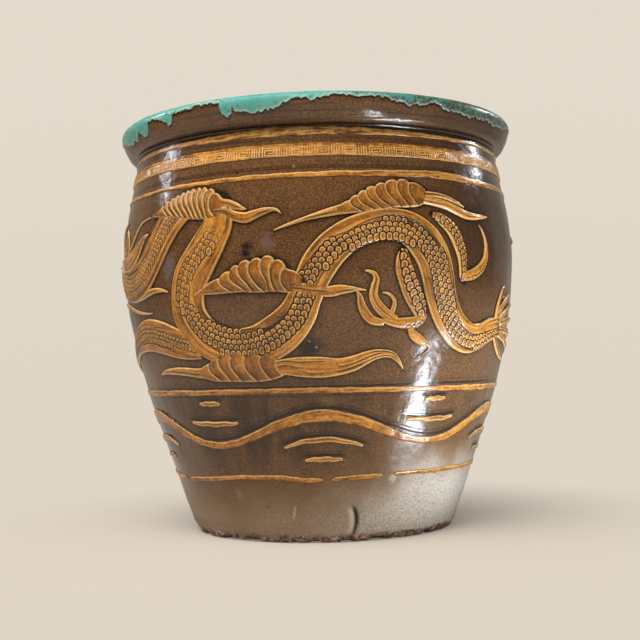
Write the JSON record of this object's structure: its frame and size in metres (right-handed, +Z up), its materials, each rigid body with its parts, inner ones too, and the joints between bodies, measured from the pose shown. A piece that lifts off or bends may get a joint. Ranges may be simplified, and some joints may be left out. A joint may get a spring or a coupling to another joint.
{
  "type": "egg jar",
  "caption": "Round-bellied stoneware vat with a thick flared rim, open at the top for curing eggs, with clay bands, waves, ribbed clouds and a coiling dragon applied round the wall.",
  "frame": {"origin": "centre of the base's underside, on the floor", "axes": "+Z up the jar's axis, -Y towards the front with the dragon's arch, +X to the right of that front"},
  "size_m": [0.5218, 0.5186, 0.517],
  "materials": {
    "brown_glaze": "glossy dark olive-brown ash glaze, fading to tan near the foot",
    "amber_glaze": "glossy amber glaze on pale applied clay",
    "green_glaze": "thick glossy turquoise glaze with short drips",
    "bare_clay": "rough unglazed reddish stoneware"
  },
  "bodies": {
    "root": {"base_slab": "bare_clay", "base_coil": "bare_clay", "lower_wall": "brown_glaze", "waist_coil": "bare_clay", "belly_wall": "brown_glaze", "shoulder_coil": "bare_clay", "neck_wall": "brown_glaze", "rim_collar": "brown_glaze", "lip_glaze": "green_glaze", "neck_line": "amber_glaze", "fret_band": "amber_glaze", "shoulder_line": "amber_glaze", "waist_line": "amber_glaze", "wave_line": "amber_glaze", "foot_line_1": "amber_glaze", "foot_line_2": "amber_glaze", "foot_line_3": "amber_glaze", "foot_line_4": "amber_glaze", "ripple_1_high_dash": "amber_glaze", "ripple_1_low_dash": "amber_glaze", "ripple_1_arc": "amber_glaze", "ripple_1_short_dash": "amber_glaze", "ripple_2_high_dash": "amber_glaze", "ripple_2_low_dash": "amber_glaze", "ripple_2_arc": "amber_glaze", "ripple_2_short_dash": "amber_glaze", "ripple_3_high_dash": "amber_glaze", "ripple_3_low_dash": "amber_glaze", "ripple_3_arc": "amber_glaze", "ripple_3_short_dash": "amber_glaze", "ripple_4_high_dash": "amber_glaze", "ripple_4_low_dash": "amber_glaze", "ripple_4_arc": "amber_glaze", "ripple_4_short_dash": "amber_glaze", "ripple_5_high_dash": "amber_glaze", "ripple_5_low_dash": "amber_glaze", "ripple_5_arc": "amber_glaze", "ripple_5_short_dash": "amber_glaze", "cloud_1": "amber_glaze", "cloud_2": "amber_glaze", "cloud_3": "amber_glaze", "cloud_4": "amber_glaze", "cloud_5": "amber_glaze", "cloud_6": "amber_glaze", "dragon_neck": "amber_glaze", "dragon_coil": "amber_glaze", "dragon_arch": "amber_glaze", "dragon_head": "amber_glaze", "tail_tuft": "amber_glaze", "hind_leg": "amber_glaze", "fore_leg": "amber_glaze", "far_leg": "amber_glaze", "mane_lock": "amber_glaze", "mane_whisker": "amber_glaze", "shoulder_lock": "amber_glaze", "beard_lock": "amber_glaze", "pearl": "amber_glaze", "pearl_flame": "amber_glaze"}
  },
  "joints": []
}
